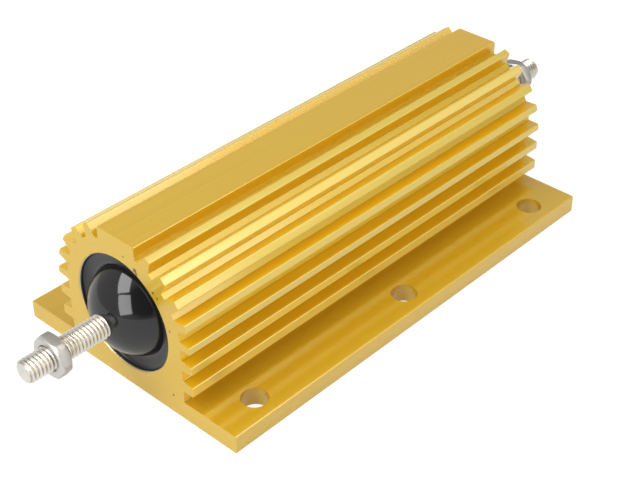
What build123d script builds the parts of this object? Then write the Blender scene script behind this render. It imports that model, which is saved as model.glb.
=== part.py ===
"""Aluminium housed wirewound power resistor, 300 W class, with a threaded stud at each end.

The wound ceramic element is moulded into the bore of a finned aluminium extrusion, whose
flat base bolts to a heatsink. Millimetres. The origin is at the centre of the base's
underside, +X runs along the housing and +Z points up through the flat land on its back.
The end at -X is the front.
"""
import os
from math import asin, atan, atan2, cos, degrees, radians, sin, sqrt, tan

from build123d import *

# Housing: flat base, a wing on each side of the barrel
HOUSING_LENGTH = 127.7
BASE_THICKNESS = 4.9
WING_WIDTH = 13.2
BASE_EDGE_RADIUS = 0.4

# Housing: bore and the walls round it
BORE_DIAMETER = 29.9
BORE_CHAMFER = 0.25
FLOOR_WALL = 5.05
BARREL_WALL = 4.25

# Housing: fins, left standing by the grooves between them
GROOVE_DEPTH = 3.2
FAN_COUNT = 3
FAN_PITCH_ANGLE = 15.1
FAN_FLOOR_WIDTH = 1.45
FAN_MOUTH_WIDTH = 3.9
SHOULDER_STEP_ANGLE = 14.5
SHOULDER_FLOOR_WIDTH = 2.55
SHOULDER_MOUTH_WIDTH = 3.85
SHOULDER_TO_SIDE = 5.0
SIDE_PITCH = 5.85
SIDE_FLOOR_WIDTH = 2.9
SIDE_MOUTH_WIDTH = 3.7
FOOT_GROOVE_WIDTH = 3.4
LEAST_FIN = 1.2
FIN_EDGE_RADIUS = 0.25

# Housing: the flat land on the back, which carries the rating on a new part
LAND_WIDTH = 12.1
LAND_DROP = 1.3
LAND_SIDE_HEIGHT = 3.4
LAND_GROOVE_FLOOR = 1.15
LAND_GROOVE_SLOPE = 48.0
CROWN_FIN_TIP = 1.74

# Housing: fixing holes, a row along each wing
HOLE_DIAMETER = 6.6
HOLE_SIDE_DISTANCE = 6.1
HOLE_END_DISTANCE = 11.85
HOLES_PER_SIDE = 3

# Moulding: black compound that fills the bore and forms a dome round each stud
MOULD_SHRINKAGE = 0.03
RING_DEPTH = 1.8
RING_WIDTH = 3.3
LIP_DEPTH = 0.65
LIP_THICKNESS = 0.5
DOME_HEIGHT = 8.2
DOME_COLLAR = 1.2

# Element: wound ceramic core with a pressed cap on each end
CORE_DIAMETER = 17.0
CORE_BORE = 7.0
CORE_END_DISTANCE = 12.85
CAP_WALL = 0.6
CAP_SKIRT = 8.0
CAP_FIT = 0.03
RIBBON_WIDTH = 5.0
RIBBON_THICKNESS = 0.35
RIBBON_FIT = 0.02
TURN_PITCH = 20.0
WINDING_END_GAP = 0.2

# Terminals: studs with a welding flange, and one thin nut on each
STUD_DIAMETER = 6.0
STUD_FREE_LENGTH = 22.0
STUD_TIP_CHAMFER = 0.6
FLANGE_DIAMETER = 12.0
FLANGE_THICKNESS = 2.0
NUT_ACROSS_FLATS = 9.75
NUT_THICKNESS = 3.2
NUT_FROM_TIP = 6.4
NUT_TURN = 8.0
NUT_CHAMFER_ANGLE = 30.0
NUT_FACE_SHARE = 0.95
NUT_THREAD_FIT = 0.1

# Barrel, outwards from the bore
BORE_RADIUS = BORE_DIAMETER / 2
AXIS_HEIGHT = FLOOR_WALL + BORE_RADIUS
GROOVE_ROOT_RADIUS = BORE_RADIUS + BARREL_WALL
FIN_TIP_RADIUS = GROOVE_ROOT_RADIUS + GROOVE_DEPTH
HOUSING_HEIGHT = AXIS_HEIGHT + FIN_TIP_RADIUS - LAND_DROP
HALF_LENGTH = HOUSING_LENGTH / 2
BASE_WIDTH = 2 * (FIN_TIP_RADIUS + WING_WIDTH)
HOLE_PITCH_WIDTH = BASE_WIDTH - 2 * HOLE_SIDE_DISTANCE
HOLE_PITCH_LENGTH = (HOUSING_LENGTH - 2 * HOLE_END_DISTANCE) / (HOLES_PER_SIDE - 1)

# Moulding, from its recessed ring up to the small flat where the stud comes out
RING_FACE = HALF_LENGTH - RING_DEPTH
DOME_BASE_RADIUS = BORE_RADIUS - RING_WIDTH
DOME_FLAT_RADIUS = STUD_DIAMETER / 2 + DOME_COLLAR
DOME_SPHERE_RADIUS = (DOME_BASE_RADIUS ** 2 + DOME_HEIGHT ** 2) / (2 * DOME_HEIGHT)
DOME_CENTRE = RING_FACE + DOME_HEIGHT - DOME_SPHERE_RADIUS
DOME_FLAT_FACE = DOME_CENTRE + sqrt(DOME_SPHERE_RADIUS ** 2 - DOME_FLAT_RADIUS ** 2)
STUD_REACH = DOME_FLAT_FACE + STUD_FREE_LENGTH

# Element, outwards from the core
CORE_LENGTH = HOUSING_LENGTH - 2 * CORE_END_DISTANCE
CAP_RADIUS = CORE_DIAMETER / 2 + CAP_FIT + CAP_WALL
CAP_OUTER_FACE = CORE_LENGTH / 2 + CAP_WALL
CAP_RIM = CORE_LENGTH / 2 - CAP_SKIRT
FLANGE_OUTER_FACE = CAP_OUTER_FACE + FLANGE_THICKNESS
RIBBON_MIDDLE_RADIUS = CORE_DIAMETER / 2 + RIBBON_FIT + RIBBON_THICKNESS / 2
RESISTOR_AXIS = Axis((0, 0, AXIS_HEIGHT), (1, 0, 0))


def turned(points):
    """Spins a closed outline of (x, radius) points round the resistor's axis."""
    outline = Polyline([(x, 0, AXIS_HEIGHT + r) for x, r in points], close=True)
    return revolve(make_face(outline), RESISTOR_AXIS)


def axial_cylinder(radius, start, end):
    """A cylinder on the resistor's axis from X = start to X = end."""
    return turned([(start, 0), (end, 0), (end, radius), (start, radius)])


def groove(floor_width, mouth_width):
    """Section of one groove that opens along +X of its own plane, with its floor's middle at (0, 0)."""
    lean = (mouth_width - floor_width) / 2 / GROOVE_DEPTH
    reach = GROOVE_DEPTH * 1.5
    half_reach = floor_width / 2 + lean * reach
    half_floor = floor_width / 2
    return make_face(Polyline([(0, -half_floor), (reach, -half_reach), (reach, half_reach), (0, half_floor)],
                              close=True))


def fan_groove(angle, floor_width, mouth_width):
    """A groove that points away from the bore's axis, the angle measured up from the horizontal."""
    turn = radians(angle)
    foot = Pos(GROOVE_ROOT_RADIUS * cos(turn), AXIS_HEIGHT + GROOVE_ROOT_RADIUS * sin(turn))
    return foot * Rot(0, 0, angle) * groove(floor_width, mouth_width)


def land_groove():
    """The groove between the land's upright side and the topmost fin, whose flank leans outwards."""
    side = LAND_WIDTH / 2
    floor = HOUSING_HEIGHT - LAND_SIDE_HEIGHT
    rise = 2 * LAND_SIDE_HEIGHT
    foot = side + LAND_GROOVE_FLOOR
    run = rise / tan(radians(LAND_GROOVE_SLOPE))
    return make_face(Polyline([(side, floor), (foot, floor), (foot + run, floor + rise), (side, floor + rise)],
                              close=True))


def first_fan_angle():
    """Angle of the topmost fan groove, one fin tip below the edge that the land's groove leaves."""
    slope = radians(LAND_GROOVE_SLOPE)
    foot = LAND_WIDTH / 2 + LAND_GROOVE_FLOOR
    rise = HOUSING_HEIGHT - LAND_SIDE_HEIGHT - AXIS_HEIGHT
    along = foot * cos(slope) + rise * sin(slope)
    flank = sqrt(along ** 2 + FIN_TIP_RADIUS ** 2 - foot ** 2 - rise ** 2) - along
    edge_angle = atan2(rise + flank * sin(slope), foot + flank * cos(slope))
    half_mouth_angle = atan(FAN_MOUTH_WIDTH / 2 / FIN_TIP_RADIUS)
    return degrees(edge_angle - CROWN_FIN_TIP / FIN_TIP_RADIUS - half_mouth_angle)


def side_heights(shoulder_angle):
    """Heights of the level grooves: as many as leave a fin above the groove at the base."""
    height = AXIS_HEIGHT + GROOVE_ROOT_RADIUS * sin(radians(shoulder_angle)) - SHOULDER_TO_SIDE
    lowest = BASE_THICKNESS + FOOT_GROOVE_WIDTH + LEAST_FIN + SIDE_MOUTH_WIDTH / 2
    heights = []
    while height >= lowest:
        heights.append(height)
        height -= SIDE_PITCH
    return heights


def grooves():
    """Every groove on the +Y side, from the land down to the base."""
    fan_angles = [first_fan_angle() - step * FAN_PITCH_ANGLE for step in range(FAN_COUNT)]
    shoulder_angle = fan_angles[-1] - SHOULDER_STEP_ANGLE
    foot_groove = Rectangle(2 * GROOVE_DEPTH, FOOT_GROOVE_WIDTH)
    cutters = [land_groove()]
    cutters += [fan_groove(angle, FAN_FLOOR_WIDTH, FAN_MOUTH_WIDTH) for angle in fan_angles]
    cutters.append(fan_groove(shoulder_angle, SHOULDER_FLOOR_WIDTH, SHOULDER_MOUTH_WIDTH))
    for height in side_heights(shoulder_angle):
        cutters.append(Pos(GROOVE_ROOT_RADIUS, height) * groove(SIDE_FLOOR_WIDTH, SIDE_MOUTH_WIDTH))
    cutters.append(Pos(FIN_TIP_RADIUS, BASE_THICKNESS + FOOT_GROOVE_WIDTH / 2) * foot_groove)
    return cutters


def is_fin_edge(vertex):
    """Whether a corner of the section is on the outside of a fin or of the land, not on a groove's floor."""
    outside = GROOVE_ROOT_RADIUS + GROOVE_DEPTH / 2
    from_axis = sqrt(vertex.X ** 2 + (vertex.Y - AXIS_HEIGHT) ** 2)
    return vertex.Y > BASE_THICKNESS + 0.01 and max(abs(vertex.X), from_axis) > outside


def housing_section():
    """The extrusion's section: x runs across the housing and y upwards."""
    barrel = Pos(0, AXIS_HEIGHT) * Circle(FIN_TIP_RADIUS)
    flank = Pos(0, AXIS_HEIGHT / 2) * Rectangle(2 * FIN_TIP_RADIUS, AXIS_HEIGHT)
    land = Pos(0, (HOUSING_HEIGHT + AXIS_HEIGHT) / 2) * Rectangle(LAND_WIDTH, HOUSING_HEIGHT - AXIS_HEIGHT)
    above = Pos(0, HOUSING_HEIGHT + FIN_TIP_RADIUS / 2) * Rectangle(BASE_WIDTH, FIN_TIP_RADIUS)
    below = Pos(0, -FIN_TIP_RADIUS / 2) * Rectangle(BASE_WIDTH, FIN_TIP_RADIUS)
    body = barrel + flank + land - above - below
    for cutter in grooves():
        body = body - cutter - mirror(cutter, about=Plane.YZ)
    section = body + Pos(0, BASE_THICKNESS / 2) * Rectangle(BASE_WIDTH, BASE_THICKNESS)
    base_edges = [v for v in section.vertices() if abs(v.X) > BASE_WIDTH / 2 - 0.01]
    section = fillet(base_edges, BASE_EDGE_RADIUS)
    return fillet([v for v in section.vertices() if is_fin_edge(v)], FIN_EDGE_RADIUS)


def make_housing():
    """Finned extrusion, bored from end to end and drilled for its fixing screws."""
    block = extrude(Plane.YZ * housing_section(), HALF_LENGTH, both=True)
    block = block - axial_cylinder(BORE_RADIUS, -HALF_LENGTH - 1, HALF_LENGTH + 1)
    mouth = turned([(HALF_LENGTH + 1, 0), (HALF_LENGTH + 1, BORE_RADIUS + BORE_CHAMFER + 1),
                    (HALF_LENGTH - BORE_CHAMFER, BORE_RADIUS), (HALF_LENGTH - BORE_CHAMFER, 0)])
    block = block - mouth - mirror(mouth, about=Plane.YZ)
    drill = Cylinder(HOLE_DIAMETER / 2, 3 * BASE_THICKNESS)
    for spot in GridLocations(HOLE_PITCH_LENGTH, HOLE_PITCH_WIDTH, HOLES_PER_SIDE, 2):
        block = block - spot * drill
    return block


def make_moulding():
    """Black compound between the element and the bore, with a recessed ring, a lip and a dome at each end."""
    outer = BORE_RADIUS - MOULD_SHRINKAGE
    lip_face = HALF_LENGTH - LIP_DEPTH
    lip_inner = outer - LIP_THICKNESS
    mid_turn = (asin(DOME_FLAT_RADIUS / DOME_SPHERE_RADIUS) + asin(DOME_BASE_RADIUS / DOME_SPHERE_RADIUS)) / 2

    def at(x, radius):
        return (x, 0, AXIS_HEIGHT + radius)

    middle = at(DOME_CENTRE + DOME_SPHERE_RADIUS * cos(mid_turn), DOME_SPHERE_RADIUS * sin(mid_turn))
    body_side = Polyline([at(0, 0), at(0, outer), at(lip_face, outer), at(lip_face, lip_inner),
                          at(RING_FACE, lip_inner), at(RING_FACE, DOME_BASE_RADIUS)])
    dome_side = ThreePointArc(at(RING_FACE, DOME_BASE_RADIUS), middle, at(DOME_FLAT_FACE, DOME_FLAT_RADIUS))
    axis_side = Polyline([at(DOME_FLAT_FACE, DOME_FLAT_RADIUS), at(DOME_FLAT_FACE, 0), at(0, 0)])
    half = revolve(make_face([body_side, dome_side, axis_side]), RESISTOR_AXIS)
    body = half + mirror(half, about=Plane.YZ)

    element_room = axial_cylinder(CAP_RADIUS, -CAP_OUTER_FACE, CAP_OUTER_FACE)
    flange_room = axial_cylinder(FLANGE_DIAMETER / 2, CAP_OUTER_FACE, FLANGE_OUTER_FACE)
    stud_room = axial_cylinder(STUD_DIAMETER / 2, FLANGE_OUTER_FACE, DOME_FLAT_FACE + 1)
    for room in (flange_room, stud_room):
        body = body - room - mirror(room, about=Plane.YZ)
    return body - element_room


def make_core():
    """Ceramic tube that the resistance ribbon is wound on."""
    inner = CORE_BORE / 2
    outer = CORE_DIAMETER / 2
    end = CORE_LENGTH / 2
    return turned([(-end, inner), (end, inner), (end, outer), (-end, outer)])


def make_winding():
    """Resistance ribbon, wound edge to edge in an open helix from one cap's rim to the other's."""
    run = 2 * (CAP_RIM - WINDING_END_GAP) - RIBBON_WIDTH
    path = Helix(TURN_PITCH, run, RIBBON_MIDDLE_RADIUS, center=(0, 0, -run / 2))
    frame = Plane(origin=path @ 0, x_dir=(1, 0, 0), z_dir=path % 0)
    strip = sweep(frame * Rectangle(RIBBON_THICKNESS, RIBBON_WIDTH), path=path, is_frenet=True)
    return Pos(0, 0, AXIS_HEIGHT) * Rot(0, 90, 0) * strip


def make_end_cap():
    """Pressed metal cap on the core's +X end. The ribbon is welded to it, and the stud's flange to its face."""
    inner = CAP_RADIUS - CAP_WALL
    seat = CORE_LENGTH / 2
    return turned([(CAP_RIM, inner), (seat, inner), (seat, 0), (CAP_OUTER_FACE, 0), (CAP_OUTER_FACE, CAP_RADIUS),
                   (CAP_RIM, CAP_RADIUS)])


def make_stud():
    """Terminal stud at the +X end, plain at its thread's major diameter, with its welding flange."""
    shank = STUD_DIAMETER / 2
    tip = shank - STUD_TIP_CHAMFER
    return turned([(CAP_OUTER_FACE, 0), (CAP_OUTER_FACE, FLANGE_DIAMETER / 2),
                   (FLANGE_OUTER_FACE, FLANGE_DIAMETER / 2), (FLANGE_OUTER_FACE, shank),
                   (STUD_REACH - STUD_TIP_CHAMFER, shank), (STUD_REACH, tip), (STUD_REACH, 0)])


def make_nut():
    """Thin hexagon nut on the +X stud, chamfered on its outer face, with its hole clear of the plain stud."""
    outer_face = STUD_REACH - NUT_FROM_TIP
    inner_face = outer_face - NUT_THICKNESS
    hexagon = RegularPolygon(NUT_ACROSS_FLATS / 2, 6, major_radius=False)
    placed = Plane.YZ * (Pos(0, AXIS_HEIGHT) * Rot(0, 0, NUT_TURN) * hexagon)
    blank = Pos(inner_face, 0, 0) * extrude(placed, NUT_THICKNESS)
    face_radius = NUT_FACE_SHARE * NUT_ACROSS_FLATS / 2
    middle = NUT_THICKNESS / 2
    wide = face_radius + middle / tan(radians(NUT_CHAMFER_ANGLE))
    envelope = turned([(inner_face, 0), (inner_face, wide), (inner_face + middle, wide), (outer_face, face_radius),
                       (outer_face, 0)])
    hole = axial_cylinder(STUD_DIAMETER / 2 + NUT_THREAD_FIT, inner_face - 1, outer_face + 1)
    return (blank & envelope) - hole


def front_of(rear_piece):
    """The same piece at the -X end, turned half round the upright line through the middle."""
    return Rot(0, 0, 180) * rear_piece


os.makedirs("parts", exist_ok=True)
end_cap = make_end_cap()
stud = make_stud()
nut = make_nut()
pieces = {
    "housing": make_housing(),
    "moulded_insulation": make_moulding(),
    "ceramic_core": make_core(),
    "resistance_winding": make_winding(),
    "rear_end_cap": end_cap,
    "front_end_cap": front_of(end_cap),
    "rear_terminal_stud": stud,
    "front_terminal_stud": front_of(stud),
    "rear_terminal_nut": nut,
    "front_terminal_nut": front_of(nut),
}
for name, piece in pieces.items():
    export_step(piece, f"parts/{name}.step")
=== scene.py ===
# %% [markdown]
# # An aluminium housed power resistor
# A wound ceramic element is moulded into a finned, gold anodised extrusion. The exact shape
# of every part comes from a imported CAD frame. This lesson adds what a CAD solid does not
# carry: the glossy dome, real screw threads, crisp nut edges, and the finish of each metal.

# %% Load the frame
import math

import bpy
from mathutils import Matrix, Vector


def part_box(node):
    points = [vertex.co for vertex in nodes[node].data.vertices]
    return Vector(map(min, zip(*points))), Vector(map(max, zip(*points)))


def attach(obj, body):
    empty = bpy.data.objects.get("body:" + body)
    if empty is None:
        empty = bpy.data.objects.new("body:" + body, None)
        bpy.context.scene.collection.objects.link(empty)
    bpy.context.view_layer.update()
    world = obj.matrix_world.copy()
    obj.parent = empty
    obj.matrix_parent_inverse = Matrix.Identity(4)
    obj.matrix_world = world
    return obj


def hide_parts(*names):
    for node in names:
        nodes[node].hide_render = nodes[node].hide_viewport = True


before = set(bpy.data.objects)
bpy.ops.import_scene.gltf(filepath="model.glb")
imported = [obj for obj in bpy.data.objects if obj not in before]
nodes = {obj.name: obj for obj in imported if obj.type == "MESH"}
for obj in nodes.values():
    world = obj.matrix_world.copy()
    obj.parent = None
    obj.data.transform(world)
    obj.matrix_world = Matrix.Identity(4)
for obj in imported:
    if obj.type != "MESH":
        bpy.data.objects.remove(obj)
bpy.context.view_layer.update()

print("CAD nodes:", ", ".join(sorted(nodes)))

# %% [markdown]
# ## Sizes
# The CAD works in millimetres and Blender in metres. Lengths are written in millimetres, and
# two short functions go from one to the other. Places come from the nodes' own boxes: the
# resistor's axis is the middle of the bore, and the studs' boxes give the ends of the studs.

# %% Measure the nodes
def mm(length):
    """A length in millimetres as Blender's metres."""
    return length / 1000


def in_mm(length):
    """A length in Blender's metres as millimetres."""
    return length * 1000


mould_low, mould_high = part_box("moulded_insulation")
stud_low, stud_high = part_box("front_terminal_stud")
housing_low, housing_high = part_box("housing")
AXIS_HEIGHT = (mould_low.z + mould_high.z) / 2
END_FACE = housing_low.x
STUD_TIP = stud_low.x
BORE_RADIUS = mm(14.95)
print("axis height", round(in_mm(AXIS_HEIGHT), 2), "mm, end face at", round(in_mm(END_FACE), 2), "mm")

# %% [markdown]
# ## Building materials in code
# Each finish is a small tree of nodes. A recipe makes the material and keeps its shader at
# hand, and its helpers each add a node and set its inputs, so that every finish below reads
# as a list of what the surface is made of.

# %% Helpers for node trees
class Recipe:
    """A material under construction."""

    def __init__(self, name):
        self.material = bpy.data.materials.new(name)
        self.material.use_nodes = True
        self.tree = self.material.node_tree
        self.shader = self.tree.nodes["Principled BSDF"]
        self.place = self.tree.nodes.new("ShaderNodeTexCoord").outputs["Object"]

    def node(self, kind, inputs=None, **settings):
        """Adds a node, sets its properties, and links or fills the named inputs."""
        node = self.tree.nodes.new(kind)
        for key, value in settings.items():
            setattr(node, key, value)
        for key, value in (inputs or {}).items():
            self.put(node, key, value)
        return node

    def put(self, node, key, value):
        """Fills one input with a number, a colour or another node's output."""
        if isinstance(value, bpy.types.NodeSocket):
            self.tree.links.new(value, node.inputs[key])
        else:
            node.inputs[key].default_value = value

    def math(self, operation, a, b=0.0):
        """A Math node's result."""
        return self.node("ShaderNodeMath", {0: a, 1: b}, operation=operation).outputs[0]

    def length(self, a, b):
        """The length of a line whose two legs are given."""
        squares = self.math("MULTIPLY", a, a), self.math("MULTIPLY", b, b)
        return self.math("SQRT", self.math("ADD", *squares))

    def axis_offsets(self):
        """How far a point lies from the middle along X, to the side of the axis, and above it."""
        apart = self.node("ShaderNodeSeparateXYZ", {"Vector": self.place}).outputs
        return apart["X"], apart["Y"], self.math("SUBTRACT", apart["Z"], AXIS_HEIGHT)

    def end_on(self, low, high):
        """1 where the surface faces along X, 0 where it faces aside or up."""
        normal = self.node("ShaderNodeTexCoord").outputs["Normal"]
        facing = self.node("ShaderNodeSeparateXYZ", {"Vector": normal}).outputs["X"]
        return self.span(self.math("ABSOLUTE", facing), low, high)

    def stretched(self, scale):
        """Object coordinates scaled per axis, which draws a pattern out along the small one."""
        return self.node("ShaderNodeMapping", {"Vector": self.place, "Scale": scale}).outputs["Vector"]

    def noise(self, vector, scale, detail=3.0, roughness=0.55):
        """Noise between 0 and 1."""
        inputs = {"Vector": vector, "Scale": scale, "Detail": detail, "Roughness": roughness}
        return self.node("ShaderNodeTexNoise", inputs).outputs["Fac"]

    def span(self, value, low, high, to_low=0.0, to_high=1.0, smoothly=False):
        """Maps one range of values onto another and stops at its ends."""
        kind = "SMOOTHSTEP" if smoothly else "LINEAR"
        ends = {"From Min": low, "From Max": high, "To Min": to_low, "To Max": to_high}
        ranged = self.node("ShaderNodeMapRange", {"Value": value, **ends}, interpolation_type=kind)
        return ranged.outputs["Result"]

    def blend(self, share, first, second):
        """A colour between two colours, which are the Mix node's sockets 6 and 7."""
        return self.node("ShaderNodeMix", {"Factor": share, 6: first, 7: second}, data_type="RGBA").outputs[2]

    def between(self, share, first, second):
        """A number between two numbers, which are the Mix node's sockets 2 and 3."""
        return self.node("ShaderNodeMix", {"Factor": share, 2: first, 3: second}).outputs[0]

    def bump(self, height, depth, strength=1.0):
        """Surface relief from a height, with its depth in millimetres."""
        relief = self.node("ShaderNodeBump", {"Height": height, "Distance": mm(depth), "Strength": strength})
        self.put(self.shader, "Normal", relief.outputs["Normal"])

    def set(self, **values):
        """Sets the shader's own sockets, such as Metallic or Base_Color."""
        for key, value in values.items():
            self.put(self.shader, key.replace("_", " "), value)


print("material helpers ready")

# %% [markdown]
# ## Where light and shade are painted on the bar
# The gold is not the same all over, because light and shade are painted into it by place. How
# far a point reaches from the axis tells a fin's tip, which gets a paler painted highlight, from
# a flank, which is painted lighter, and from a groove's floor, which gets a yellower painted
# highlight. The drilled holes and the base are painted darker, as painted shade. The near end
# has seven small dark knocks. Each place becomes a mask between 0 and 1, worked out from the
# object's own coordinates. The lengths below are in millimetres, and where there are two, the
# mask fades from the first to the second.

# %% Find the places on the bar
FLOOR_REACH, TIP_REACH = (19.4, 19.8), (22.0, 22.3)
BASE_TOP = (5.2, 5.8)
FLANK_SIDE = (11.5, 13)
DRILLED_RADIUS = (3.35, 3.5)
HOLE_PITCH_LENGTH, HOLE_PITCH_WIDTH = 104, 59
KNOCKS = [
    (-5.9, 35.0, 0.75),
    (-6.3, 34.3, 0.5),
    (-11.4, 31.8, 0.4),
    (-12.7, 30.9, 0.35),
    (-16.0, 23.6, 0.35),
    (-15.6, 5.1, 0.4),
    (-2.3, 37.0, 0.3),
]


def painted_light_masks(gold):
    """A mask for each place where light or shade is painted into the gold."""
    along, aside, up = gold.axis_offsets()
    above_base = gold.span(up, mm(BASE_TOP[0]) - AXIS_HEIGHT, mm(BASE_TOP[1]) - AXIS_HEIGHT)
    reach = gold.length(aside, gold.math("MAXIMUM", up, 0.0))
    floors = gold.span(reach, mm(FLOOR_REACH[0]), mm(FLOOR_REACH[1]), 1.0, 0.0, smoothly=True)
    tips = gold.span(reach, mm(TIP_REACH[0]), mm(TIP_REACH[1]), smoothly=True)
    flanks = gold.span(gold.math("ABSOLUTE", aside), mm(FLANK_SIDE[0]), mm(FLANK_SIDE[1]))

    # A row has a hole in the middle and one at each end, so folding the length twice brings
    # all three to one place.
    fold = mm(HOLE_PITCH_LENGTH / 4)
    for _ in range(2):
        along = gold.math("SUBTRACT", gold.math("ABSOLUTE", along), fold)
    beside_hole = gold.math("SUBTRACT", gold.math("ABSOLUTE", aside), mm(HOLE_PITCH_WIDTH / 2))
    to_hole = gold.length(along, beside_hole)
    return {
        "base": gold.span(above_base, 0, 1, 0.55, 0.0),
        "flanks": gold.math("MULTIPLY", flanks, above_base),
        "floors": gold.math("MULTIPLY", floors, above_base),
        "tips": gold.math("MULTIPLY", tips, above_base),
        "drilled": gold.span(to_hole, mm(DRILLED_RADIUS[0]), mm(DRILLED_RADIUS[1]), 1.0, 0.0, smoothly=True),
    }


def knocks_on_end(gold):
    """A mask of the small knocks, each given by its side, height and radius."""
    knocked = 0.0
    for side, height, radius in KNOCKS:
        spot = (END_FACE, mm(side), mm(height))
        away = gold.node("ShaderNodeVectorMath", {0: gold.place, 1: spot}, operation="DISTANCE")
        knock = gold.span(away.outputs["Value"], mm(0.6 * radius), mm(radius), 0.95, 0.0, smoothly=True)
        knocked = gold.math("MAXIMUM", knocked, knock)
    return knocked


print("places on the bar named,", len(KNOCKS), "knocks on the near end")

# %% [markdown]
# ## Gold anodised extrusion
# Anodising leaves a hard, dyed, satin skin of clear oxide on the metal. The base layer is
# therefore half metal, which takes the dye, and a clear coat over it gives the white sheen.
# The bar keeps the fine lines that the extrusion die draws along it, so a noise is stretched
# out along X for the colour, the relief and the gloss. The two ends are sawn across, so they
# lose those lines and get an even grain. The bore's edge is bare, as if it was turned after
# the dyeing. Light that goes from wall to wall in a groove takes the dye twice, which turns
# the grooves deep orange by itself.

# %% Mix the gold anodised finish
DIE_LINES, SAW_GRAIN = (5, 1900, 1900), (700, 700, 700)
DRAWN_GOLD = (0.75, 0.465, 0.014, 1), (0.79, 0.49, 0.02, 1)
SAWN_GOLD = (0.70, 0.445, 0.003, 1), (0.76, 0.485, 0.006, 1)
# Painted light and shade by place: a paler painted highlight on the tips, painted light on the flanks, a
# yellower painted highlight on the groove floors, painted shade on the base and in the drilled holes.
PAINTED_LIGHT_BY_PLACE = {
    "base": (0.655, 0.415, 0.022, 1),
    "flanks": (0.90, 0.575, 0.018, 1),
    "floors": (0.76, 0.51, 0.006, 1),
    "tips": (0.76, 0.55, 0.085, 1),
    "drilled": (0.66, 0.40, 0.003, 1),
}
KNOCK_BROWN = (0.13, 0.05, 0.0, 1)
BARE_METAL = (0.62, 0.60, 0.55, 1)


def make_gold_anodised():
    gold = Recipe("gold_anodised_aluminium")
    die_lines = gold.noise(gold.stretched(DIE_LINES), 1.0, 4.0, 0.65)
    saw_grain = gold.noise(gold.stretched(SAW_GRAIN), 1.0, 3.0, 0.6)
    sawn = gold.end_on(0.8, 0.95)
    relief = gold.between(sawn, die_lines, saw_grain)

    side = gold.blend(gold.span(die_lines, 0.35, 0.65), *DRAWN_GOLD)
    painted_masks = painted_light_masks(gold)
    # Lays the painted light and shade of each place over the drawn gold.
    for place, colour in PAINTED_LIGHT_BY_PLACE.items():
        side = gold.blend(painted_masks[place], side, colour)
    end = gold.blend(knocks_on_end(gold), gold.blend(saw_grain, *SAWN_GOLD), KNOCK_BROWN)

    along, aside, up = gold.axis_offsets()
    dyed = gold.span(gold.length(aside, up), BORE_RADIUS + mm(0.04), BORE_RADIUS + mm(0.12))
    gold.set(
        Base_Color=gold.blend(dyed, BARE_METAL, gold.blend(sawn, side, end)),
        Metallic=gold.span(dyed, 0, 1, 1.0, 0.5),
        Roughness=gold.span(relief, 0.3, 0.7, 0.32, 0.46),
        Specular_IOR_Level=0.0,
        Coat_Weight=1.0,
        Coat_Roughness=0.14,
        Coat_IOR=1.85,
    )
    gold.bump(relief, 0.012, 0.6)
    return gold.material


gold_anodised = make_gold_anodised()
print("made", gold_anodised.name)

# %% [markdown]
# ## Black moulding compound
# The compound is poured and cured in the bore. Its meniscus is glossy, so the dome mirrors
# the room. Only a faint unevenness breaks the mirror, and the recessed ring is more matt.

# %% Mix the black compound
RING_FADE = (11.9, 12.3)


def make_black_compound():
    black = Recipe("black_moulding_compound")
    along, aside, up = black.axis_offsets()
    ring = black.span(black.length(aside, up), mm(RING_FADE[0]), mm(RING_FADE[1]))
    waves = black.noise(black.place, 90.0, 2.0)
    satin = black.span(ring, 0, 1, 0.06, 0.30)
    uneven = black.span(waves, 0.3, 0.7, 0.0, 0.03)
    black.set(Base_Color=(0.012, 0.012, 0.013, 1), IOR=1.6, Roughness=black.math("ADD", satin, uneven))
    black.bump(waves, 0.05, 0.3)
    return black.material


black_compound = make_black_compound()
print("made", black_compound.name)

# %% [markdown]
# ## Bright metals
# The studs are nickel plated and bright, with painted warm shade down in the thread's roots,
# which the distance from the axis finds. The nuts are plain satin steel, duller on their six
# drawn sides than on their turned faces; that difference is partly painted, with painted shade
# on the sides and painted light on the faces. Both are metals with a little noise in their gloss.

# %% Mix the stud and nut finishes
ROOT_SHADE = (0.53, 0.46, 0.35, 1)
ROOT_SHADE_FADE = (2.45, 2.7)


def make_bright_metal(name, colour, gloss, grain_depth, root_shaded=False, turned=None):
    """Satin metal. It may have painted shade in a thread's roots, or turned faces of a lighter colour that is
    partly painted light.
    """
    metal = Recipe(name)
    patches = metal.noise(metal.place, 260.0, 3.0)
    grain = metal.noise(metal.place, 2600.0, 2.0)
    darker = tuple(0.86 * part for part in colour[:3]) + (1,)
    shade = metal.blend(metal.span(patches, 0.35, 0.7), darker, colour)
    if root_shaded:
        along, aside, up = metal.axis_offsets()
        in_roots = metal.span(metal.length(aside, up), mm(ROOT_SHADE_FADE[0]), mm(ROOT_SHADE_FADE[1]), 1.0, 0.0)
        tip = -STUD_TIP
        behind_tip = metal.span(metal.math("ABSOLUTE", along), tip - mm(0.1), tip - mm(0.05), 1.0, 0.0)
        # Painted shade: the thread's roots are darkened, warm, everywhere behind the tip.
        shade = metal.blend(metal.math("MULTIPLY", in_roots, behind_tip), shade, ROOT_SHADE)
    if turned:
        # Painted light on the faces that face along X, laid over the real turned finish.
        shade = metal.blend(metal.end_on(0.6, 0.78), shade, turned)
    gloss_range = gloss - 0.05, gloss + 0.07
    metal.set(Base_Color=shade, Metallic=1.0, Roughness=metal.span(patches, 0.3, 0.7, *gloss_range))
    metal.bump(grain, grain_depth, 0.4)
    return metal.material


plated_steel = make_bright_metal("plated_steel", (0.93, 0.895, 0.825, 1), 0.30, 0.01, root_shaded=True)
# The nut's sides are darkened as painted shade and its turned faces lightened as painted light, on top of
# their real drawn and turned finishes.
nut_steel = make_bright_metal("nut_steel", (0.53, 0.51, 0.47, 1), 0.40, 0.012, turned=(0.72, 0.705, 0.67, 1))
print("made", plated_steel.name, "and", nut_steel.name)

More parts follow.
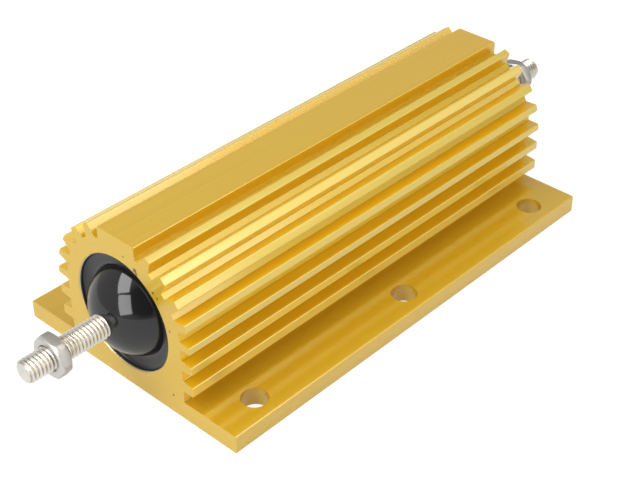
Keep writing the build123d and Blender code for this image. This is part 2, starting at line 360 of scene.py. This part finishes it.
# %% [markdown]
# ## The parts inside
# Nothing of the element shows while the resistor is whole, but the model can be cut open.
# Its CAD solids keep their shape, and each gets the finish of the real part.

# %% Mix the finishes of the element
def make_ceramic():
    ceramic = Recipe("steatite")
    speckle = ceramic.noise(ceramic.place, 1800.0, 3.0)
    creams = (0.80, 0.77, 0.69, 1), (0.88, 0.85, 0.78, 1)
    ceramic.set(Base_Color=ceramic.blend(ceramic.span(speckle, 0.35, 0.7), *creams), Roughness=0.62)
    ceramic.bump(speckle, 0.03, 0.4)
    return ceramic.material


ceramic = make_ceramic()
resistance_alloy = make_bright_metal("resistance_alloy", (0.58, 0.50, 0.41, 1), 0.38, 0.012)
cap_steel = make_bright_metal("cap_steel", (0.56, 0.55, 0.53, 1), 0.33, 0.012)

for name, finish in {
    "housing": gold_anodised,
    "ceramic_core": ceramic,
    "resistance_winding": resistance_alloy,
    "front_end_cap": cap_steel,
    "rear_end_cap": cap_steel,
}.items():
    nodes[name].data.materials.clear()
    nodes[name].data.materials.append(finish)
print("finishes given to the CAD nodes")

# %% [markdown]
# ## Drawing and spinning
# An operator acts on whatever is selected, so each step starts from an empty selection. A
# turned part, such as the dome, is drawn as half of its outline, one corner after another,
# and then spun round the axis, which is how a lathe would cut it. Spinning can leave doubled
# corners and faces that point inwards, so both are mended at once.

# %% Helpers that pick, draw and spin
def start_clean():
    """Leaves edit mode and deselects everything, the CAD nodes too."""
    if bpy.context.object and bpy.context.object.mode != "OBJECT":
        bpy.ops.object.mode_set(mode="OBJECT")
    bpy.ops.object.select_all(action="DESELECT")


def pick(piece):
    """Makes one object the only selected and the active one."""
    start_clean()
    piece.select_set(True)
    bpy.context.view_layer.objects.active = piece


def edit_all():
    """Goes to edit mode with the whole mesh selected."""
    bpy.ops.object.mode_set(mode="EDIT")
    bpy.ops.mesh.select_all(action="SELECT")


def weld(distance):
    """Merges doubled corners of the active mesh, and turns its faces outwards."""
    edit_all()
    bpy.ops.mesh.remove_doubles(threshold=mm(distance))
    bpy.ops.mesh.normals_make_consistent(inside=False)
    bpy.ops.object.mode_set(mode="OBJECT")


def draw_outline(name, points):
    """One line of edges through (x, radius) points in millimetres, above the resistor's axis."""
    start_clean()
    bpy.ops.mesh.primitive_plane_add(size=mm(1), location=(0, 0, 0))
    outline = bpy.context.object
    outline.name = outline.data.name = name
    edit_all()
    bpy.ops.mesh.merge(type="CENTER")
    x, radius = points[0]
    bpy.ops.transform.translate(value=(mm(x), 0, AXIS_HEIGHT + mm(radius)))
    for (x0, r0), (x1, r1) in zip(points, points[1:]):
        step = (mm(x1 - x0), 0, mm(r1 - r0))
        bpy.ops.mesh.extrude_vertices_move(TRANSFORM_OT_translate={"value": step})
    bpy.ops.object.mode_set(mode="OBJECT")
    return outline


def spin_outline(name, points, steps):
    """A turned part: the outline spun once round the axis."""
    turned = draw_outline(name, points)
    edit_all()
    bpy.ops.mesh.spin(steps=steps, angle=2 * math.pi, center=(0, 0, AXIS_HEIGHT), axis=(1, 0, 0))
    weld(0.002)
    return turned


def smooth(piece, degrees):
    """Shades the piece smooth, except across edges sharper than the given angle."""
    pick(piece)
    bpy.ops.object.shade_smooth_by_angle(angle=math.radians(degrees))


def dress(piece, finish, node):
    """Gives a finished piece its material, lets it ride, and lets it stand for a CAD node."""
    piece.data.materials.clear()
    piece.data.materials.append(finish)
    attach(piece, "root")
    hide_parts(node)
    print(piece.name, "has", len(piece.data.polygons), "faces")


print("modelling helpers ready")

# %% [markdown]
# ## The moulded ends
# Behind the sawn face lie a thin lip, a recessed ring and a dome round the stud. The CAD
# solid has them as flat facets, and a mirror-like dome shows every one. So the whole
# moulding is spun again in many steps, on the same sizes. Where the compound climbs the
# bore it curves up, as a liquid does at a wall, in a quarter of an ellipse.

# %% Spin the moulding
RING_WIDTH, RING_DEPTH, LIP_DEPTH = 3.3, 1.8, 0.65
DOME_HEIGHT = 8.2
STUD_HOLE = 2.95
MENISCUS = 1.7
COMPOUND_GAP = 0.03
SPIN_STEPS = 160

bore = in_mm(BORE_RADIUS)
ring_face = in_mm(END_FACE) + RING_DEPTH
dome_base = bore - RING_WIDTH
sphere = (dome_base ** 2 + DOME_HEIGHT ** 2) / (2 * DOME_HEIGHT)
centre = ring_face - DOME_HEIGHT + sphere


def dome_points(count):
    """Points down the dome from the stud to the ring, as (x, radius)."""
    top = math.asin(STUD_HOLE / sphere)
    bottom = math.asin(dome_base / sphere)
    turns = [top + (bottom - top) * step / count for step in range(count + 1)]
    return [(centre - sphere * math.cos(turn), sphere * math.sin(turn)) for turn in turns]


def meniscus_points(count):
    """Points up the quarter of an ellipse by which the compound climbs the bore."""
    outer = bore - COMPOUND_GAP
    lip_face = in_mm(END_FACE) + LIP_DEPTH
    depth = ring_face - lip_face
    turns = [math.pi / 2 * (1 - step / count) for step in range(count + 1)]
    return [(lip_face + depth * math.sin(turn), outer - MENISCUS * (1 - math.cos(turn))) for turn in turns]


near_half = dome_points(40) + meniscus_points(10)
far_half = [(-x, radius) for x, radius in reversed(near_half)]
moulding = spin_outline("moulding", near_half + far_half + near_half[:1], SPIN_STEPS)
smooth(moulding, 30)
dress(moulding, black_compound, "moulded_insulation")

# %% [markdown]
# ## Threaded studs
# Each stud is M6 with a pitch of one millimetre. One turn of the thread is drawn in profile,
# a sloping flank up, a narrow crest and a flank down, and the Screw modifier winds it along
# the axis. Two bisects close its ends. Then a turned rod with a bevelled tip, left only where
# both overlap, trims the thread to the stud's own outline.

# %% Wind the thread
PITCH = 1.0
CREST, ROOT = 2.98, 2.45
SHOULDER = CREST - 0.03
ONE_TURN = [(0, ROOT), (0.08, ROOT), (0.40, SHOULDER), (0.44, CREST), (0.56, CREST), (0.60, SHOULDER),
            (0.92, ROOT), (1.0, ROOT)]
tip = in_mm(STUD_TIP)
dome_top = in_mm(mould_low.x)
thread_end = dome_top + 1.5


def cut_with(piece, tool, operation):
    """Applies a Boolean modifier, then deletes the tool that it used."""
    pick(piece)
    cut = piece.modifiers.new("cut", "BOOLEAN")
    cut.operation = operation
    cut.solver = "EXACT"
    cut.object = tool
    bpy.ops.object.modifier_apply(modifier=cut.name)
    bpy.data.objects.remove(tool)


def wind_thread(name):
    """One turn's profile, wound along the axis from just before the tip into the dome."""
    thread = draw_outline(name, [(x * PITCH, radius) for x, radius in ONE_TURN])
    pick(thread)
    bpy.context.scene.cursor.location = (0, 0, AXIS_HEIGHT)
    bpy.ops.object.origin_set(type="ORIGIN_CURSOR")
    wind = thread.modifiers.new("wind", "SCREW")
    wind.axis = "X"
    wind.screw_offset = mm(PITCH)
    wind.iterations = math.ceil((thread_end - tip) / PITCH) + 2
    wind.steps = wind.render_steps = 48
    wind.use_merge_vertices = True
    wind.merge_threshold = mm(0.002)
    bpy.ops.object.modifier_apply(modifier=wind.name)
    thread.location.x = mm(tip - PITCH)
    bpy.ops.object.transform_apply(location=True, rotation=True, scale=True)
    return thread


def make_stud(name):
    stud = wind_thread(name)
    for cut, keep_higher in ((tip - 0.01, True), (thread_end, False)):
        edit_all()
        bpy.ops.mesh.bisect(plane_co=(mm(cut), 0, AXIS_HEIGHT), plane_no=(1, 0, 0), use_fill=True,
                            clear_inner=keep_higher, clear_outer=not keep_higher)
        bpy.ops.object.mode_set(mode="OBJECT")
    weld(0.001)
    clear_of_thread, rod_end = 3.1, thread_end - 0.1
    rod = spin_outline("rod", [(tip, 0), (tip, 2.35), (tip + 0.12, 2.47), (tip + 0.62, 2.97),
                               (tip + 0.7, clear_of_thread), (rod_end, clear_of_thread), (rod_end, 0)], 96)
    cut_with(stud, rod, "INTERSECT")
    return stud


front_stud = make_stud("front_stud")
print("thread corners:", len(front_stud.data.vertices))

# %% [markdown]
# ## The studs' hidden roots
# Behind the dome each stud has a plain shank and a flange, which is welded to the cap. They
# are turned in one outline and joined to the thread. The far stud is a copy with its own
# mesh, turned half round the upright line.

# %% Add the shank and the welding flange, and copy the stud
SHANK, FLANGE, FLANGE_THICKNESS = 2.4, 6, 2


def rear_copy(piece, name):
    """A copy for the other end with its own mesh."""
    pick(piece)
    bpy.ops.object.duplicate(linked=False)
    copy = bpy.context.object
    copy.name = copy.data.name = name
    copy.rotation_euler = (0, 0, math.pi)
    bpy.ops.object.transform_apply(location=True, rotation=True, scale=True)
    return copy


shank_start, flange_end = dome_top + 0.6, in_mm(stud_high.x)
flange_start = flange_end - FLANGE_THICKNESS
shank = spin_outline("shank", [(shank_start, 0), (shank_start, SHANK), (flange_start, SHANK),
                               (flange_start, FLANGE), (flange_end, FLANGE), (flange_end, 0)], 64)
front_stud.select_set(True)
shank.select_set(True)
bpy.context.view_layer.objects.active = front_stud
bpy.ops.object.join()
smooth(front_stud, 35)
rear_stud = rear_copy(front_stud, "rear_stud")
dress(front_stud, plated_steel, "front_terminal_stud")
dress(rear_stud, plated_steel, "rear_terminal_stud")

# %% [markdown]
# ## Thin nuts
# A nut starts as a six-sided cylinder. A turned lens, left only where both overlap, gives the
# curved chamfers and takes the points off the six corners, a countersunk hole takes the stud,
# and a fine bevel catches the light along every edge.

# %% Make the nuts
NUT_ACROSS = 9.75
NUT_TURN = 8.0
NUT_CHAMFER = 36
NUT_EDGE = 0.1
nut_low, nut_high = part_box("front_terminal_nut")


def make_nut(name):
    low, high = in_mm(nut_low.x), in_mm(nut_high.x)
    flat, point = NUT_ACROSS / 2, NUT_ACROSS / 2 / math.cos(math.pi / 6)
    start_clean()
    bpy.ops.mesh.primitive_cylinder_add(vertices=6, radius=mm(point), depth=mm(high - low),
                                        end_fill_type="NGON")
    nut = bpy.context.object
    nut.name = nut.data.name = name
    place = Matrix.Translation((mm((low + high) / 2), 0, AXIS_HEIGHT))
    turn = Matrix.Rotation(math.radians(NUT_TURN), 4, "X") @ Matrix.Rotation(math.pi / 2, 4, "Y")
    nut.matrix_world = place @ turn
    bpy.ops.object.transform_apply(location=True, rotation=True, scale=True)

    face, corner = 0.93 * flat, 0.95 * point
    rise = (corner - face) * math.tan(math.radians(NUT_CHAMFER))
    lens = spin_outline("lens", [(low, 0), (low, face), (low + rise, corner), (high - rise, corner),
                                 (high, face), (high, 0)], 96)
    cut_with(nut, lens, "INTERSECT")
    hole = spin_outline("hole", [(low - 1, 0), (low - 1, 4.4), (low + 0.4, 3.0), (high - 0.4, 3.0),
                                 (high + 1, 4.4), (high + 1, 0)], 64)
    cut_with(nut, hole, "DIFFERENCE")

    pick(nut)
    edge = nut.modifiers.new("edge", "BEVEL")
    edge.width = mm(NUT_EDGE)
    edge.segments = 2
    edge.limit_method = "ANGLE"
    edge.angle_limit = math.radians(28)
    bpy.ops.object.modifier_apply(modifier=edge.name)
    smooth(nut, 30)
    return nut


front_nut = make_nut("front_nut")
rear_nut = rear_copy(front_nut, "rear_nut")
dress(front_nut, nut_steel, "front_terminal_nut")
dress(rear_nut, nut_steel, "rear_terminal_nut")

# %% [markdown]
# ## The table
# The object stands on a plain white table. To the camera, and in mirrors, most of the white
# is given off by the table itself, so it reads as white without more light on the object. The
# rest is ordinary paint, which still shows the object's soft shadow. In mirrors the table is
# darker than it is to the camera, as a real one is when only its middle is lit.

# %% Lay the table
MATT_WHITE, DIM_WHITE = (0.8, 0.8, 0.8, 1), (0.25, 0.25, 0.25, 1)
MIRRORED_GLOW, SEEN_GLOW = 0.57, 0.86


def make_white_paint():
    """White that glows to the camera and in mirrors, and is ordinary paint to all other light."""
    paint = Recipe("white_table")
    rays = paint.node("ShaderNodeLightPath").outputs
    seen = paint.math("MAXIMUM", rays["Is Camera Ray"], rays["Is Transmission Ray"])
    matt = paint.node("ShaderNodeBsdfDiffuse", {"Color": MATT_WHITE}).outputs[0]
    dim = paint.node("ShaderNodeBsdfDiffuse", {"Color": DIM_WHITE}).outputs[0]
    strength = paint.span(seen, 0, 1, MIRRORED_GLOW, SEEN_GLOW)
    glow = paint.node("ShaderNodeEmission", {"Strength": strength}).outputs[0]
    white = paint.node("ShaderNodeAddShader", {0: dim, 1: glow}).outputs[0]
    seen_or_mirrored = paint.math("MAXIMUM", seen, rays["Is Glossy Ray"])
    surface = paint.node("ShaderNodeMixShader", {"Fac": seen_or_mirrored, 1: matt, 2: white}).outputs[0]
    paint.put(paint.tree.nodes["Material Output"], "Surface", surface)
    paint.tree.nodes.remove(paint.shader)
    return paint.material


start_clean()
bpy.ops.mesh.primitive_plane_add(size=6, location=(0, 0, mm(-0.05)))
table = bpy.context.object
table.name = "table"
table.data.materials.append(make_white_paint())
print("table laid")

# %% [markdown]
# ## Light
# The room is an even grey-white, darker on the camera's side, where a studio keeps its black
# cloth. Two soft panes on the left are the bright window in the dome, and the gap between
# them is its crossbar. Two tall lamps on the right brighten the fins' tips, the stronger one
# mostly at the near end. A low lamp lights the lower fins and the base's side, a very small
# one gives the dome its second highlight, and the ceiling fills in. A lamp's power is worked
# out from its area and from how bright it should look.

# %% Set the room and the lamps
CLOTH_TOWARD, CLOTH_EDGE = (-0.45, -0.64, 0.62), (0.72, 0.90)
ROOM_GREY, CLOTH_GREY = 0.50, 0.05
UPRIGHT = (0, 0, 1)
WHITE, PALE_GREEN = (1, 1, 1), (0.98, 1.0, 0.95)


def make_room():
    world = bpy.data.worlds.new("studio")
    bpy.context.scene.world = world
    world.use_nodes = True
    tree = world.node_tree
    background = tree.nodes["Background"]
    background.inputs["Color"].default_value = (1, 1, 1, 1)
    place = tree.nodes.new("ShaderNodeTexCoord")
    toward = tree.nodes.new("ShaderNodeVectorMath")
    toward.operation = "DOT_PRODUCT"
    toward.inputs[1].default_value = Vector(CLOTH_TOWARD).normalized()
    fade = tree.nodes.new("ShaderNodeMapRange")
    fade.interpolation_type = "SMOOTHSTEP"
    for key, value in zip(("From Min", "From Max", "To Min", "To Max"), (*CLOTH_EDGE, ROOM_GREY, CLOTH_GREY)):
        fade.inputs[key].default_value = value
    tree.links.new(place.outputs["Generated"], toward.inputs[0])
    tree.links.new(toward.outputs["Value"], fade.inputs["Value"])
    tree.links.new(fade.outputs["Result"], background.inputs["Strength"])


def add_lamp(name, toward, along, width, height, distance, brightness, colour=WHITE):
    """A soft rectangular lamp in a direction from the object, with its height lying along a line."""
    toward, along = Vector(toward).normalized(), Vector(along)
    along = (along - along.dot(toward) * toward).normalized()
    across = along.cross(toward)
    lamp = bpy.data.lights.new(name, "AREA")
    lamp.shape = "RECTANGLE"
    lamp.size, lamp.size_y = width, height
    lamp.energy = brightness * math.pi * width * height
    lamp.color = colour
    holder = bpy.data.objects.new(name, lamp)
    bpy.context.scene.collection.objects.link(holder)
    turn = Matrix((across, along, toward)).transposed()
    holder.matrix_world = Matrix.Translation(Vector((0, 0, 0.02)) + toward * distance) @ turn.to_4x4()


make_room()
add_lamp("window_upper", (-0.468, 0.270, 0.842), (0.434, 0.405, 0.432), 0.35, 0.60, 0.8, 4.9)
add_lamp("window_lower", (-0.902, -0.135, 0.410), (0.33, 0.32, 0.53), 0.36, 0.53, 0.8, 4.3)
add_lamp("side_window", (-0.33, -0.93, 0.20), UPRIGHT, 0.01, 0.04, 0.8, 6.0)
add_lamp("side_near", (0.30, -0.58, 0.76), UPRIGHT, 0.42, 0.9, 1.0, 1.65, PALE_GREEN)
add_lamp("side_far", (0.55, -0.50, 0.67), UPRIGHT, 0.45, 0.9, 1.0, 0.68, PALE_GREEN)
add_lamp("side_low", (0.22, -0.94, 0.22), UPRIGHT, 0.62, 0.5, 1.0, 1.65)
add_lamp("ceiling", (0.2, -0.1, 0.97), (1, 0, 0), 0.8, 0.8, 1.0, 0.40)
print("room and", len(bpy.data.lights), "lamps ready")

# %% [markdown]
# ## Camera
# The view comes from the photograph: the fixing holes, the sawn end and the fins' tips fix
# where it was taken from. The camera's three axes and its place are worked out from its
# bearing, its height above the table, its slight roll and its distance.

# %% Place the camera
def place_camera(bearing, height, roll, distance, target, lens):
    """Puts the camera at a distance from a point, given its bearing, height and roll in degrees."""
    bearing, height, roll = (math.radians(angle) for angle in (bearing, height, roll))
    level = math.cos(height)
    back = Vector((math.sin(bearing) * level, -math.cos(bearing) * level, math.sin(height)))
    right = Vector((math.cos(bearing), math.sin(bearing), 0))
    up = back.cross(right)
    right, up = math.cos(roll) * right + math.sin(roll) * up, math.cos(roll) * up - math.sin(roll) * right
    camera = bpy.data.objects.new("camera", bpy.data.cameras.new("camera"))
    bpy.context.scene.collection.objects.link(camera)
    turn = Matrix((right, up, back)).transposed()
    camera.matrix_world = Matrix.Translation(Vector(target) + back * distance) @ turn.to_4x4()
    camera.data.lens = lens
    camera.data.sensor_width = 36
    camera.data.clip_start = 0.01
    bpy.context.scene.camera = camera


place_camera(bearing=-47.118, height=35.597, roll=-0.138, distance=0.35508,
             target=(-0.00340, -0.00444, 0.01063), lens=79.167)
bpy.context.scene.view_settings.view_transform = "Standard"
print("camera placed at", tuple(round(part, 3) for part in bpy.context.scene.camera.location))
